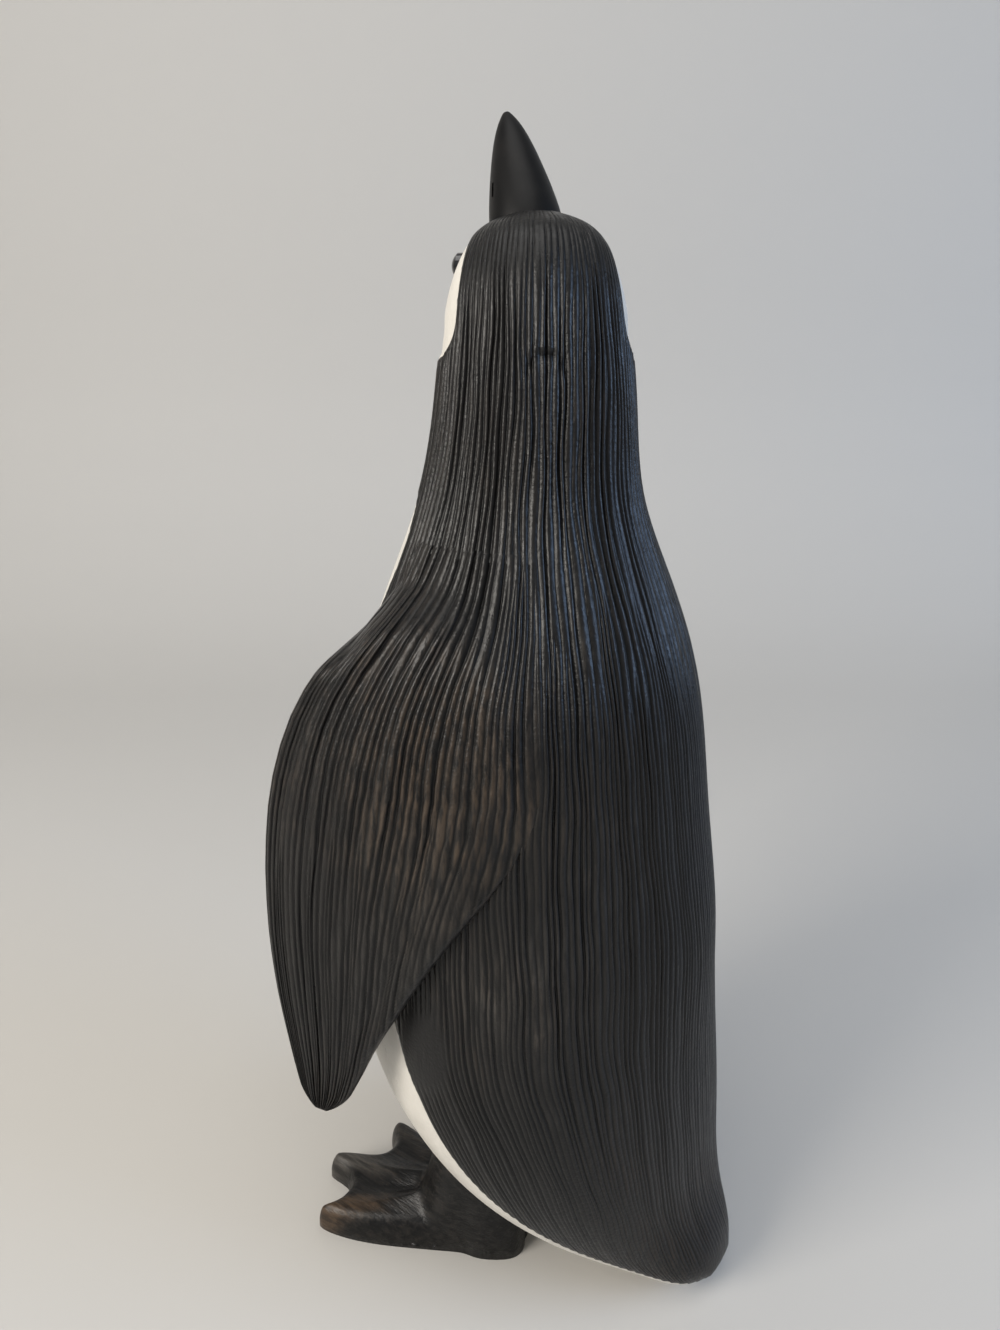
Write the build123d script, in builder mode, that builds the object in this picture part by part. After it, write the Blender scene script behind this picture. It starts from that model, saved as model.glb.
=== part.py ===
from build123d import *
import os
from collections import namedtuple
from math import cos, radians, sin, sqrt

# A carved wooden penguin, standing, that looks up and over its right shoulder.
# Millimetres. +Z is up, the body faces -Y and its own left side is +X.
# The origin lies on the table, under the middle of the figure.

# Cross-sections of the carved body, from the tail to the crown. Each is an ellipse:
# its centre's rise above the one before, its set-back from the neck, its lean, width and depth.
Section = namedtuple("Section", "rise set_back lean width depth")
tail_end = Section(rise=8.5, set_back=66, lean=66, width=11.5, depth=5)
tail_tip = Section(rise=0.5, set_back=62.7, lean=64, width=22.4, depth=15)
tail = Section(rise=5, set_back=55, lean=60, width=37.8, depth=26.6)
rump = Section(rise=13.5, set_back=40.5, lean=50, width=66.4, depth=52.4)
hip = Section(rise=21.5, set_back=20, lean=36, width=93.8, depth=85.6)
belly = Section(rise=27, set_back=4.6, lean=18, width=100.4, depth=103.6)
waist = Section(rise=29, set_back=2, lean=6, width=99, depth=102)
breast = Section(rise=35, set_back=0, lean=0, width=95, depth=97)
shoulder = Section(rise=35, set_back=0, lean=0, width=85, depth=86)
collar = Section(rise=23, set_back=0, lean=0, width=69, depth=70)
throat = Section(rise=19, set_back=0, lean=0, width=55, depth=56)
nape = Section(rise=21, set_back=1, lean=0, width=48, depth=49)
cheek = Section(rise=19, set_back=1, lean=0, width=43, depth=44)
brow = Section(rise=12, set_back=1, lean=0, width=36.5, depth=37)
crown = Section(rise=8, set_back=1, lean=0, width=24, depth=25)
crown_top = Section(rise=3, set_back=1, lean=0, width=9, depth=9)
neck_set_back = -8

# Joinery
glue_gap = 0.1
end_gap = 1.0
dowel_chamfer = 0.8

# Head, turned about the neck and joined on one stout dowel that a peg locks
neck_joint_above_collar = 8
head_turn = 52
neck_dowel_diameter = 12
neck_dowel_in_torso = 32
neck_dowel_above_peg = 8
nape_peg_diameter = 6
nape_peg_above_nape = 8
nape_peg_past_dowel = 4

# Beak: widths at its seat, where it leaves the head, midway, near the tip and at the tip
beak_length = 33
beak_seat_width = 17.2
beak_root_width = 15.9
beak_root_at = 11
beak_middle_width = 11
beak_middle_at = 22
beak_fore_width = 5.9
beak_fore_at = 29.5
beak_tip_width = 1.8
beak_deeper = 1.08
beak_rise = 70
beak_side_tilt = 9.4
beak_seat_below_crown = 7.5
beak_seat_forward = 7
beak_dowel_diameter = 5
beak_dowel_in_beak = 12
beak_dowel_in_head = 14
mouth_line_width = 0.7
mouth_line_depth = 0.6
mouth_line_drop = 1.5
mouth_cutter_width = 30
nostril_length = 3.6
nostril_width = 0.9
nostril_depth = 1.0
nostril_at = 14
nostril_angle = 64

# Eyes: glass beads on a shank
eye_diameter = 6
eye_dome = 1.6
eye_rim = 1.8
eye_stand = 0.2
eye_shank_diameter = 2.4
eye_shank_length = 5
eye_below_crown = 11
eye_angle = 72

# Flippers, let into flats on the flanks. Their outline is drawn on the flat,
# forward of or behind its centre and above or below it.
flipper_seat_height = 120
flipper_let_in = 5
flipper_splay = 15
flipper_lean = 6
flipper_thickness = 10
flipper_tip_forward = 43
flipper_tip_drop = 58.5
flipper_lead_forward = 55.4
flipper_lead_rise = 4
flipper_bend_forward = 42.5
flipper_bend_rise = 57.5
flipper_shoulder_forward = 11
flipper_shoulder_rise = 76
flipper_root_back = 17
flipper_root_rise = 46
flipper_trail_forward = 9
flipper_trail_drop = 13
flipper_outline_steps = 20
flipper_crown_radius = 87
flipper_blade_radius = 360
flipper_shoulder_radius = 270
flipper_rake = 14
flipper_crown_forward = 18
flipper_crown_rise = 10
flipper_recess_reach = 20
flipper_dowel_diameter = 6
flipper_dowel_in_flipper = 4
flipper_dowel_in_torso = 20
flipper_upper_dowel_rise = 46
flipper_lower_dowel_rise = 3
flipper_dowel_back = 6

# Feet: a web with three toes and an ankle, held by one dowel and one screw each
foot_out = 20
foot_set_back = 4.5
foot_turn = 14.5
heel_width = 17
foot_length = 62.5
outer_toes_shorter = 9
outer_toes_out = 18.5
toe_tip_width = 9
toe_tip_height = 6.5
toe_root_width = 15
toe_root_height = 22
toe_end_width = 4.5
toe_end_height = 4
toe_nose = 2.5
web_notch_shorter = 16.5
web_thickness = 4
ankle_height = 44
ankle_width = 20
ankle_length = 26
ankle_forward = 14
leg_dowel_diameter = 8
leg_dowel_in_foot = 22
leg_dowel_in_torso = 24
leg_dowel_forward = 19
foot_screw_diameter = 4
foot_screw_head_diameter = 8
foot_screw_head_height = 2.4
foot_screw_sink = 1
foot_screw_length = 65
foot_screw_forward = 7
screw_slot_width = 1
screw_slot_depth = 1


body_sections = (
    tail_end, tail_tip, tail, rump, hip, belly, waist, breast, shoulder,
    collar, throat, nape, cheek, brow, crown, crown_top,
)


def height_of(section):
    """A section's height above the table, the sum of the rises up to it."""
    return sum(lower.rise for lower in body_sections[: body_sections.index(section) + 1])


def section_plane(section):
    """The plane of one body section, which leans as the body runs back to the tail."""
    lean = radians(section.lean)
    return Plane(
        origin=(0, neck_set_back + section.set_back, height_of(section)),
        x_dir=(1, 0, 0),
        z_dir=(0, -sin(lean), cos(lean)),
    )


def level_direction(turn):
    """A level direction, turned from straight ahead towards the penguin's right."""
    return Vector(-sin(radians(turn)), -cos(radians(turn)), 0)


def dowel(start, diameter, length):
    """A round dowel that runs from a start plane, with both its ends chamfered."""
    with BuildPart() as stick:
        with BuildSketch(start):
            Circle(diameter / 2)
        extrude(amount=length)
        chamfer(stick.edges().filter_by(GeomType.CIRCLE), dowel_chamfer)
    return stick.part


def dowel_hole(start, diameter, length):
    """The round hole for a dowel, wider than it by the glue gap all round."""
    with BuildPart() as hole:
        with BuildSketch(start):
            Circle(diameter / 2 + glue_gap)
        extrude(amount=length)
    return hole.part


def outermost_point(form, start, direction):
    """Where a line that leaves a start point comes out of a solid for the last time."""
    crossings = [point for point, normal in form.find_intersection_points(Axis(start, direction))]
    return max(crossings, key=lambda point: (point - start).dot(direction))


os.makedirs("parts", exist_ok=True)

# The carved body as one form, before it is parted into torso and head
with BuildPart() as body_form:
    for body_section in body_sections:
        with BuildSketch(section_plane(body_section)):
            Ellipse(body_section.depth / 2, body_section.width / 2, rotation=90)
    loft()

# Planes and axes that the pieces share
up = Vector(0, 0, 1)
neck = Vector(0, neck_set_back, 0)
neck_joint_height = height_of(collar) + neck_joint_above_collar
nape_peg_height = height_of(nape) + nape_peg_above_nape
beak_seat_height = height_of(crown_top) - beak_seat_below_crown
eye_height = height_of(crown_top) - eye_below_crown
neck_joint = Plane(neck + up * neck_joint_height)
head_forward = level_direction(head_turn)
head_left = head_forward.cross(up) * -1
neck_dowel_start = Plane(neck + up * (neck_joint_height - neck_dowel_in_torso))
neck_dowel_length = nape_peg_height + neck_dowel_above_peg - neck_joint_height + neck_dowel_in_torso

nape_middle = neck + up * nape_peg_height
nape_peg_start = Plane(
    nape_middle + head_forward * (neck_dowel_diameter / 2 + nape_peg_past_dowel),
    x_dir=head_left,
    z_dir=-head_forward,
)

beak_axis = (head_forward * cos(radians(beak_rise)) + up * sin(radians(beak_rise))).rotate(
    Axis((0, 0, 0), head_forward), -beak_side_tilt
)
beak_seat = Plane(
    neck + up * beak_seat_height + head_forward * beak_seat_forward,
    x_dir=head_left,
    z_dir=beak_axis,
)
beak_sections = (
    (0, beak_seat_width),
    (beak_root_at, beak_root_width),
    (beak_middle_at, beak_middle_width),
    (beak_fore_at, beak_fore_width),
    (beak_length, beak_tip_width),
)


def beak_outline(spare):
    """The beak's lofted form, larger by a spare gap all round."""
    with BuildPart() as form:
        for reach, width in beak_sections:
            with BuildSketch(beak_seat.offset(reach)):
                Ellipse(width / 2 + spare, width * beak_deeper / 2 + spare)
        loft()
    return form.part


def eye_seat(side):
    """The plane of an eye's rim, square to the head's side where the eye looks out."""
    outward = level_direction(head_turn - side * eye_angle)
    surface_point = outermost_point(body_form.part, neck + up * eye_height, outward)
    return Plane(surface_point + outward * eye_stand, x_dir=up, z_dir=outward)


def eye_form(side, spare):
    """A glass eye: a low dome on a short rim, with a shank behind it."""
    rim_radius = eye_diameter / 2 + spare
    shank_radius = eye_shank_diameter / 2 + spare
    seat = eye_seat(side)
    with BuildPart() as form:
        with BuildSketch(Plane(seat.origin, x_dir=seat.x_dir, z_dir=seat.y_dir * -1)):
            with BuildLine():
                dome = TangentArc((0, eye_dome), (rim_radius, 0), tangent=(1, 0))
                Polyline(
                    dome @ 1,
                    (rim_radius, -eye_rim),
                    (shank_radius, -eye_rim),
                    (shank_radius, -eye_rim - eye_shank_length),
                    (0, -eye_rim - eye_shank_length),
                    dome @ 0,
                )
            make_face()
        revolve(axis=Axis(seat.origin, seat.z_dir))
    return form.part


# Left flipper's flat on the flank: x runs back along it, y runs up
flipper_seat_out = waist.width / 2 - flipper_let_in
splay = radians(flipper_splay)
lean = radians(flipper_lean)
flipper_seat = Plane(
    neck + up * flipper_seat_height + Vector(cos(splay), sin(splay), 0) * flipper_seat_out,
    x_dir=(-sin(splay), cos(splay), 0),
    z_dir=(cos(splay) * cos(lean), sin(splay) * cos(lean), sin(lean)),
)
rake = radians(flipper_rake)
flipper_grain = Plane(
    flipper_seat.from_local_coords((-flipper_crown_forward, flipper_crown_rise, 0)),
    x_dir=flipper_seat.x_dir * sin(rake) + flipper_seat.y_dir * cos(rake),
    z_dir=flipper_seat.z_dir,
)


with BuildLine():
    flipper_outline = Spline(
        (-flipper_tip_forward, -flipper_tip_drop),
        (-flipper_lead_forward, flipper_lead_rise),
        (-flipper_bend_forward, flipper_bend_rise),
        (-flipper_shoulder_forward, flipper_shoulder_rise),
        (flipper_root_back, flipper_root_rise),
        (-flipper_trail_forward, -flipper_trail_drop),
        periodic=True,
    )


def flipper_board(height, spare):
    """A straight board of the flipper's outline, wider by a spare gap all round."""
    rim = []
    for step in range(flipper_outline_steps):
        heading = flipper_outline % (step / flipper_outline_steps)
        outward = Vector(-heading.Y, heading.X)
        rim.append(flipper_outline @ (step / flipper_outline_steps) + outward * spare)
    with BuildPart() as board:
        with BuildSketch(flipper_seat):
            with BuildLine():
                Spline(*rim, periodic=True)
            make_face()
        extrude(amount=height)
    return board.part


flipper_dowel_floor = flipper_grain.offset(-flipper_dowel_in_torso)
flipper_dowel_starts = {}
for dowel_name, dowel_rise in (("upper", flipper_upper_dowel_rise), ("lower", flipper_lower_dowel_rise)):
    dowel_foot = flipper_dowel_floor.from_local_coords((dowel_rise, -flipper_dowel_back, 0))
    flipper_dowel_starts[dowel_name] = Plane(dowel_foot, z_dir=flipper_grain.z_dir)
flipper_dowel_length = flipper_dowel_in_torso + flipper_dowel_in_flipper
flipper_dowel_holes = [
    dowel_hole(start, flipper_dowel_diameter, flipper_dowel_length + end_gap)
    for start in flipper_dowel_starts.values()
]

# Left foot's plane on the table: x runs forward along the foot, y runs outward
foot_plane = Plane((foot_out, foot_set_back, 0), x_dir=level_direction(-foot_turn), z_dir=up)
leg_dowel_start = Plane(
    foot_plane.from_local_coords((leg_dowel_forward, 0, ankle_height - leg_dowel_in_foot))
)
leg_dowel_length = leg_dowel_in_foot + leg_dowel_in_torso
leg_dowel_hole = dowel_hole(leg_dowel_start, leg_dowel_diameter, leg_dowel_length + end_gap)
outer_toes_forward = foot_length - outer_toes_shorter
web_notch_forward = foot_length - web_notch_shorter
toe_tips = (
    (outer_toes_forward, outer_toes_out),
    (foot_length, 0),
    (outer_toes_forward, -outer_toes_out),
)


def ankle_post(spare):
    """The upright part of a foot that is let into the belly."""
    with BuildPart() as post:
        with BuildSketch(foot_plane):
            with Locations((ankle_forward, 0)):
                Ellipse(ankle_length / 2 + spare, ankle_width / 2 + spare)
        extrude(amount=ankle_height)
    return post.part


def foot_screw_form(length, spare):
    """A wood screw with a flat-bottomed head, driven upwards from inside the sole."""
    head_radius = foot_screw_head_diameter / 2 + spare
    shank_radius = foot_screw_diameter / 2 + spare
    screw_foot = foot_plane.from_local_coords((foot_screw_forward, 0, foot_screw_sink))
    with BuildPart() as screw:
        with BuildSketch(Plane(screw_foot, x_dir=foot_plane.x_dir, z_dir=-foot_plane.y_dir)):
            Polygon(
                (0, 0),
                (head_radius, 0),
                (head_radius, foot_screw_head_height),
                (shank_radius, foot_screw_head_height),
                (shank_radius, length - foot_screw_diameter),
                (0, length),
                align=None,
            )
        revolve(axis=Axis(screw_foot, up))
    return screw.part


# Torso: the body below the neck, with the flats, mortises and holes of its joints
left_torso_cuts = [
    flipper_board(flipper_recess_reach, glue_gap),
    *flipper_dowel_holes,
    ankle_post(glue_gap),
    leg_dowel_hole,
    foot_screw_form(foot_screw_length + end_gap, glue_gap),
]
right_torso_cuts = [mirror(cut, about=Plane.YZ) for cut in left_torso_cuts]
neck_dowel_hole = dowel_hole(neck_dowel_start, neck_dowel_diameter, neck_dowel_length + end_gap)
with BuildPart() as torso:
    add(body_form.part)
    split(bisect_by=neck_joint, keep=Keep.BOTTOM)
    split(bisect_by=Plane.XY, keep=Keep.TOP)
    for cut in (neck_dowel_hole, *left_torso_cuts, *right_torso_cuts):
        add(cut, mode=Mode.SUBTRACT)

# Head: the body above the neck, with sockets for the beak, eyes, dowel and peg
nape_peg_hole = dowel_hole(nape_peg_start, nape_peg_diameter, nape.depth)
beak_dowel_start = beak_seat.offset(-beak_dowel_in_head)
beak_dowel_length = beak_dowel_in_head + beak_dowel_in_beak
beak_dowel_hole = dowel_hole(beak_dowel_start, beak_dowel_diameter, beak_dowel_length + end_gap)
head_cuts = (
    neck_dowel_hole,
    nape_peg_hole,
    beak_outline(glue_gap),
    beak_dowel_hole,
    eye_form(1, glue_gap),
    eye_form(-1, glue_gap),
)
with BuildPart() as head:
    add(body_form.part)
    split(bisect_by=neck_joint, keep=Keep.TOP)
    for cut in head_cuts:
        add(cut, mode=Mode.SUBTRACT)

# Neck dowel, cross-drilled for the peg
with BuildPart() as neck_dowel:
    add(dowel(neck_dowel_start, neck_dowel_diameter, neck_dowel_length))
    add(nape_peg_hole, mode=Mode.SUBTRACT)

# Nape peg, trimmed flush with the back of the neck
with BuildPart() as nape_peg:
    with BuildSketch(nape_peg_start):
        Circle(nape_peg_diameter / 2)
    extrude(amount=nape.depth)
    add(body_form.part, mode=Mode.INTERSECT)

# Beak, with its mouth line, nostrils and dowel hole
beak_form = beak_outline(0)
mouth_plane = Plane(
    beak_seat.origin - beak_seat.y_dir * mouth_line_drop, x_dir=head_left, z_dir=beak_seat.y_dir
)
inside_mouth_line = beak_outline(-mouth_line_depth)
with BuildPart() as mouth_line:
    with BuildSketch(mouth_plane):
        Rectangle(mouth_cutter_width, beak_length * 2 + mouth_cutter_width)
    extrude(amount=mouth_line_width / 2, both=True)
    add(inside_mouth_line, mode=Mode.SUBTRACT)
with BuildPart() as beak:
    add(beak_form)
    add(mouth_line.part, mode=Mode.SUBTRACT)
    for nostril_side in (1, -1):
        outward = beak_seat.y_dir.rotate(Axis((0, 0, 0), beak_axis), nostril_side * nostril_angle)
        nostril_middle = outermost_point(beak_form, beak_seat.offset(nostril_at).origin, outward)
        with BuildSketch(Plane(nostril_middle, x_dir=beak_axis, z_dir=outward)):
            SlotOverall(nostril_length, nostril_width)
        extrude(amount=nostril_depth, both=True, mode=Mode.SUBTRACT)
    add(beak_dowel_hole, mode=Mode.SUBTRACT)

# Left flipper: a board of its outline with a rounded outer face that thins to the shoulder,
# drilled for two dowels
flipper_core_depth = flipper_crown_radius - flipper_thickness
flipper_reach = flipper_shoulder_rise + flipper_tip_drop
flipper_blade_end = flipper_thickness - flipper_blade_radius + sqrt(
    flipper_blade_radius**2 - flipper_reach**2
)
flipper_shoulder_end = flipper_thickness - flipper_shoulder_radius + sqrt(
    flipper_shoulder_radius**2 - flipper_reach**2
)
flipper_profile = Plane(
    flipper_grain.origin, x_dir=flipper_grain.x_dir, z_dir=flipper_grain.x_dir.cross(flipper_grain.z_dir)
)
flipper_core = Axis(flipper_grain.offset(-flipper_core_depth).origin, flipper_grain.x_dir)
flipper_blank = flipper_board(flipper_thickness, 0)
with BuildPart() as left_flipper:
    add(flipper_blank)
    with BuildSketch(flipper_profile):
        with BuildLine():
            flipper_peak = (0, flipper_thickness)
            blade_line = TangentArc(flipper_peak, (-flipper_reach, flipper_blade_end), tangent=(-1, 0))
            shoulder_line = TangentArc(flipper_peak, (flipper_reach, flipper_shoulder_end), tangent=(1, 0))
            Polyline(
                shoulder_line @ 1,
                (flipper_reach, -flipper_core_depth),
                (-flipper_reach, -flipper_core_depth),
                blade_line @ 1,
            )
        make_face()
    revolve(axis=flipper_core, mode=Mode.INTERSECT)
    add(flipper_dowel_holes, mode=Mode.SUBTRACT)

# Left foot: web, three ridged toes and the ankle, drilled for its dowel and screw
ankle = ankle_post(0)
foot_screw_hole = foot_screw_form(foot_screw_length, glue_gap)
foot_screw_way_in = dowel_hole(
    Plane(foot_plane.from_local_coords((foot_screw_forward, 0, 0))),
    foot_screw_head_diameter,
    foot_screw_sink,
)
with BuildPart() as left_foot:
    with BuildSketch(foot_plane):
        with BuildLine():
            Polyline(
                (0, -heel_width / 2),
                (outer_toes_forward, -outer_toes_out),
                (web_notch_forward, -outer_toes_out / 2),
                (foot_length, 0),
                (web_notch_forward, outer_toes_out / 2),
                (outer_toes_forward, outer_toes_out),
                (0, heel_width / 2),
                close=True,
            )
        make_face()
    extrude(amount=web_thickness)
    add(ankle)
    for tip_forward, tip_out in toe_tips:
        toe_root = foot_plane.from_local_coords((ankle_forward, 0, 0))
        toe_tip = foot_plane.from_local_coords((tip_forward, tip_out, 0))
        toe_line = (toe_tip - toe_root).normalized()
        toe_stations = (
            (toe_root, toe_root_width / 2, toe_root_height),
            (toe_tip - toe_line * toe_nose, toe_tip_width / 2, toe_tip_height),
            (toe_tip + toe_line * toe_nose, toe_end_width / 2, toe_end_height),
        )
        for toe_centre, half_width, height in toe_stations:
            with BuildSketch(Plane(toe_centre, x_dir=toe_line.cross(up), z_dir=toe_line)):
                Ellipse(half_width, height)
        loft(ruled=True)
    split(bisect_by=Plane.XY, keep=Keep.TOP)
    add([leg_dowel_hole, foot_screw_way_in, foot_screw_hole], mode=Mode.SUBTRACT)

# Left foot screw, slotted across its head
foot_screw_blank = foot_screw_form(foot_screw_length, 0)
with BuildPart() as left_foot_screw:
    add(foot_screw_blank)
    with BuildSketch(foot_plane.offset(foot_screw_sink)):
        with Locations((foot_screw_forward, 0)):
            Rectangle(foot_screw_head_diameter, screw_slot_width)
    extrude(amount=screw_slot_depth, mode=Mode.SUBTRACT)

# The pieces, with those on the right as mirror images of those on the left
pieces = {
    "torso": torso.part,
    "head": head.part,
    "neck_dowel": neck_dowel.part,
    "nape_peg": nape_peg.part,
    "beak": beak.part,
    "beak_dowel": dowel(beak_dowel_start, beak_dowel_diameter, beak_dowel_length),
    "left_eye": eye_form(1, 0),
    "right_eye": eye_form(-1, 0),
}
left_pieces = {
    "flipper": left_flipper.part,
    "foot": left_foot.part,
    "leg_dowel": dowel(leg_dowel_start, leg_dowel_diameter, leg_dowel_length),
    "foot_screw": left_foot_screw.part,
}
for dowel_name, dowel_start in flipper_dowel_starts.items():
    left_pieces[f"flipper_{dowel_name}_dowel"] = dowel(
        dowel_start, flipper_dowel_diameter, flipper_dowel_length
    )
for piece_name, left_piece in left_pieces.items():
    pieces[f"left_{piece_name}"] = left_piece
    pieces[f"right_{piece_name}"] = mirror(left_piece, about=Plane.YZ)

for piece_name, piece in pieces.items():
    piece.label = piece_name
    export_step(piece, f"parts/{piece_name}.step")
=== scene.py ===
import math

import bmesh
import bpy
import numpy as np
from mathutils import Matrix, Vector
from mathutils.bvhtree import BVHTree


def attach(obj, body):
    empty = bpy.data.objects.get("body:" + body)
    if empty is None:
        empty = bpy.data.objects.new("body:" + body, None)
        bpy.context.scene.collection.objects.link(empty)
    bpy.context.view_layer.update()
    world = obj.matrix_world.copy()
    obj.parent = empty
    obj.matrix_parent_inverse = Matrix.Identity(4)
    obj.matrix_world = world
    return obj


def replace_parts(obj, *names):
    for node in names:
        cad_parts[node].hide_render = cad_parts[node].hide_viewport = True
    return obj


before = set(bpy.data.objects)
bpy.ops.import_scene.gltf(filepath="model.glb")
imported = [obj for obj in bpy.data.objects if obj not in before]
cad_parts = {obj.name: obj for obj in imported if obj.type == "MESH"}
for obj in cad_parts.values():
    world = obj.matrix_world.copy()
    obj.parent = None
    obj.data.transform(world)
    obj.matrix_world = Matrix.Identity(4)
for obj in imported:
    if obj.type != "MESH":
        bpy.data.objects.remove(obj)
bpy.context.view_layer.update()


# Torso: one block of wood, carved with a V-tool in close feather lines from the neck to the tail.
# The back is painted black over brown wood; the breast and belly are smooth and painted white.
# Lengths are in millimetres until a mesh is made.
mm = 0.001
neck_y = -8.0
# height, set-back from the neck, lean, width and depth of each section, from the tail to the crown
body_sections = np.array([
    (8.5, 66, 66, 11.5, 5), (9, 62.7, 64, 22.4, 15), (14, 55, 60, 37.8, 26.6), (27.5, 40.5, 50, 66.4, 52.4),
    (49, 20, 36, 93.8, 85.6), (76, 4.6, 18, 100.4, 103.6), (105, 2, 6, 99, 102), (140, 0, 0, 95, 97),
    (175, 0, 0, 85, 86), (198, 0, 0, 69, 70), (217, 0, 0, 55, 56), (238, 1, 0, 48, 49),
    (257, 1, 0, 43, 44), (269, 1, 0, 36.5, 37), (277, 1, 0, 24, 25), (280, 1, 0, 9, 9),
], float)
neck_joint_height = 206.0


def smooth_through(knots, values, at):
    """A natural cubic spline through the values at the knots, read at the places given."""
    step = np.diff(knots)
    slope = np.diff(values, axis=0) / step[:, None]
    system = np.eye(len(knots))
    right_side = np.zeros_like(values)
    for i in range(1, len(knots) - 1):
        system[i, i - 1:i + 2] = step[i - 1], 2 * (step[i - 1] + step[i]), step[i]
        right_side[i] = 6 * (slope[i] - slope[i - 1])
    bend = np.linalg.solve(system, right_side)
    i = np.clip(np.searchsorted(knots, at) - 1, 0, len(step) - 1)
    h = step[i][:, None]
    a = ((knots[i + 1] - at) / step[i])[:, None]
    b = 1 - a
    return a * values[i] + b * values[i + 1] + ((a**3 - a) * bend[i] + (b**3 - b) * bend[i + 1]) * h * h / 6


def ease(low, high, value):
    """0 below low, 1 above high, and a smooth rise between."""
    t = np.clip((value - low) / (high - low), 0, 1)
    return t * t * (3 - 2 * t)


section_way = np.hypot(np.hypot(np.diff(body_sections[:, 0]), np.diff(body_sections[:, 1])),
                       np.diff(body_sections[:, 3]) / 2)
section_along = np.concatenate([[0], np.cumsum(section_way)])


def body_surface(along, turn):
    """Points of the body before its lines are cut, the way out of it and half its width.
    Along runs from tail to crown, turn goes from the front (0) by the left side (90) to the back."""
    height, set_back, lean, width, depth = smooth_through(section_along, body_sections, along).T
    lean, turn = np.radians(lean), np.radians(turn)
    rear = np.stack([0 * lean, np.cos(lean), np.sin(lean)], -1)
    across = np.array([1.0, 0, 0])
    centre = np.stack([0 * height, neck_y + set_back, height], -1)
    half_width, half_depth = np.maximum(width, 0.02) / 2, np.maximum(depth, 0.02) / 2
    point = (centre + across * (half_width * np.sin(turn))[:, None]
             - rear * (half_depth * np.cos(turn))[:, None])
    out = across * (np.sin(turn) / half_width)[:, None] - rear * (np.cos(turn) / half_depth)[:, None]
    return point, out / np.linalg.norm(out, axis=1)[:, None], half_width


# feather lines: the turns at which the V-tool cut, closer or wider by hand; every second one
# only starts on the shoulders, at its own height
first_turn, line_count = 44.0, 200
hand = np.random.default_rng(11)
line_widths = hand.uniform(0.74, 1.26, line_count)
line_turns = first_turn + np.concatenate([[0], np.cumsum(line_widths)]) * 360 / line_widths.sum()
line_depths = hand.uniform(0.55, 1.3, line_count + 1)
line_depths[-1] = line_depths[0]
line_begins = hand.uniform(168, 196, line_count + 1)
line_fade, cut_roundness = 7.0, 0.85
# sideways waves of the lines: reach, length, waves round the body and shift
line_waves = ((0.55, 24, 3, 0.4), (0.2, 10.5, 7, 2.1), (0.14, 5.1, 13, 4.0), (0.09, 3.3, -29, 5.2))


def line_wander(turn, height):
    """How far a feather line strays sideways, in millimetres."""
    t = np.radians(turn)
    return sum(reach * np.sin(height / length + waves * t + shift) for reach, length, waves, shift in line_waves)


def v_cuts(place, height, sizes, depths, begins):
    """Depth of the V-tool's cuts at a place counted in lines: 1 at the bottom of a groove, 0 on a ridge.
    Each size of ridge is halved by the next one below the height where its middle line begins."""
    depth = 0
    for level, size in enumerate(sizes):
        cell = np.floor(place / size)
        share = place / size - cell
        near = ((cell + (share > 0.5)) * size).astype(int)
        swell = 0.85 + 0.15 * np.sin(height / 8.3 + near * 2.4)
        cut = (1 - np.abs(np.sin(math.pi * share)) ** cut_roundness) * swell
        cut = cut * depths[np.minimum(near, len(depths) - 1)]
        middle = np.minimum(((cell // 2) * 2 + 1) * size, len(begins) - 1).astype(int)
        begun = ease(line_fade, -line_fade, height - begins[middle]) if level else 1
        depth = depth + (cut - depth) * begun
    return depth


merge_distance = 2e-6


def wrapped_sheet(name, columns, rows, place):
    """A grid that is laid round a form. Place gives each column and row its point and its marks."""
    sheet = bmesh.new()
    bmesh.ops.create_grid(sheet, x_segments=columns, y_segments=rows, size=0.5)
    flat = np.array([vert.co for vert in sheet.verts])
    share = (flat - flat.min(0)) / np.maximum(np.ptp(flat, axis=0), 1e-9)
    column = np.rint(share[:, 0] * columns).astype(int)
    row = np.rint(share[:, 1] * rows).astype(int)
    points, marks = place(column, row)
    layers = {mark: sheet.verts.layers.float.new(mark) for mark in marks}
    for vert, point in zip(sheet.verts, points * mm):
        vert.co = point
    for mark, layer in layers.items():
        for vert, value in zip(sheet.verts, marks[mark]):
            vert[layer] = value
    bmesh.ops.remove_doubles(sheet, verts=sheet.verts, dist=merge_distance)
    bmesh.ops.recalc_face_normals(sheet, faces=sheet.faces)
    for face in sheet.faces:
        face.smooth = len(face.verts) == 4  # the triangles of a flat end stay flat
    mesh = bpy.data.meshes.new(name)
    sheet.to_mesh(mesh)
    sheet.free()
    piece = bpy.data.objects.new(name, mesh)
    bpy.context.scene.collection.objects.link(piece)
    return piece


# where the black paint of the back ends, as turns from the front at places along the body
paint_edge = np.array([(0, 88), (22, 81), (34, 82), (60, 82), (100, 82.5), (117, 79.5), (136, 72), (171, 58),
                       (206, 45), (222, 45), (233, 49.5), (240, 50), (246, 47), (252, 41), (323, 41)], float)
breast_top = 216.0


def breast_paint(along, turn, height, radius):
    """Distance from the white breast's edge, in millimetres: below 0 it is white."""
    from_front = np.minimum(turn % 360, 360 - turn % 360)
    edge = np.interp(along, paint_edge[:, 0], paint_edge[:, 1])
    return np.maximum(np.radians(from_front - edge) * radius, height - breast_top)


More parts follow.
